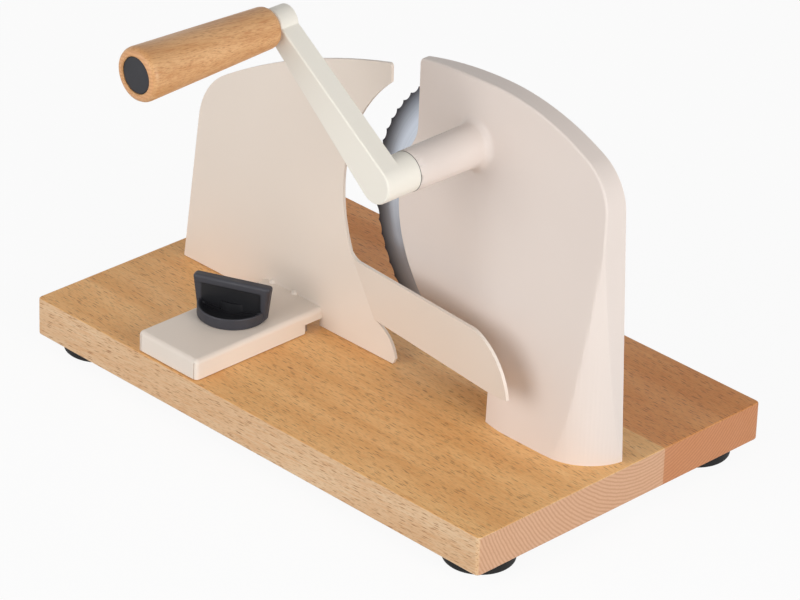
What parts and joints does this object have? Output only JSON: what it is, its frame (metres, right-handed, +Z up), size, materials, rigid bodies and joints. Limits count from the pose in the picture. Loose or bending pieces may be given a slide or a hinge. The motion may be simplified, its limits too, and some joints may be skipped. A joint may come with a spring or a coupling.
{
  "type": "hand-cranked bread slicer",
  "caption": "Hand-cranked bread slicer: wooden base, moulded housing with a geared round toothed blade, sliding sheet fence with clamp knob, crank with wooden handle.",
  "frame": {"origin": "on the plane that the feet stand on, under the middle of the base board", "axes": "X along the board, +X towards the housing; +Y from the crank's side to the side that the loaf lies on; Z up"},
  "size_m": [0.38, 0.31, 0.2836],
  "materials": {
    "beech": "oiled, satin",
    "handle_beech": "lacquered, satin",
    "rubber": "matt",
    "steel": "bright",
    "enamel": "satin powder coat",
    "plate_enamel": "satin powder coat",
    "crank_enamel": "satin powder coat",
    "bronze": "plain",
    "rail_aluminium": "mill finish",
    "gear_plastic": "moulded",
    "dark_plastic": "fine texture",
    "blade_steel": "ground"
  },
  "bodies": {
    "base": {"base_board": "beech", "rubber_feet": "rubber", "foot_screws": "steel", "rail_screws": "steel", "housing_screws": "steel", "housing": "enamel", "back_plate": "plate_enamel", "back_plate_screws": "steel", "front_bush": "bronze", "rear_bush": "bronze", "blade_axle": "steel", "axle_screw": "steel", "slide_rail": "rail_aluminium"},
    "crank": {"crank_shaft": "steel", "crank_gear": "gear_plastic", "gear_clip": "steel", "crank_arm": "crank_enamel", "crank_set_screw": "steel", "handle_spindle": "steel"},
    "handle": {"handle_grip": "handle_beech", "grip_cap": "dark_plastic"},
    "blade_wheel": {"blade": "blade_steel", "blade_gear": "gear_plastic", "blade_bush": "bronze", "blade_screws": "steel"},
    "fence": {"fence_plate": "enamel", "clamp_nut": "steel", "clamp_washer": "steel"},
    "clamp_knob": {"knob": "dark_plastic", "clamp_stud": "steel"}
  },
  "joints": [
    {"name": "crank_turn", "type": "hinge", "parent": "base", "child": "crank", "pos_m": [0.0685, -0.08, 0.19967], "axis": [0, 1, 0], "continuous": true},
    {"name": "blade_turn", "type": "hinge", "parent": "base", "child": "blade_wheel", "pos_m": [0.075, 0.0062, 0.1355], "axis": [0, 1, 0], "continuous": true},
    {"name": "handle_spin", "type": "hinge", "parent": "crank", "child": "handle", "pos_m": [-0.01854, -0.14, 0.26743], "axis": [0, 1, 0], "continuous": true},
    {"name": "fence_slide", "type": "slide", "parent": "base", "child": "fence", "axis": [0, 1, 0], "range_m": [0, 0.008]},
    {"name": "knob_turn", "type": "hinge", "parent": "fence", "child": "clamp_knob", "pos_m": [-0.0775, -0.0602, 0.055], "axis": [0, 0, 1], "range_deg": [0, 180]}
  ],
  "couplings": [
    {"joint": "blade_turn", "follows": "crank_turn", "ratio": -0.79167}
  ]
}
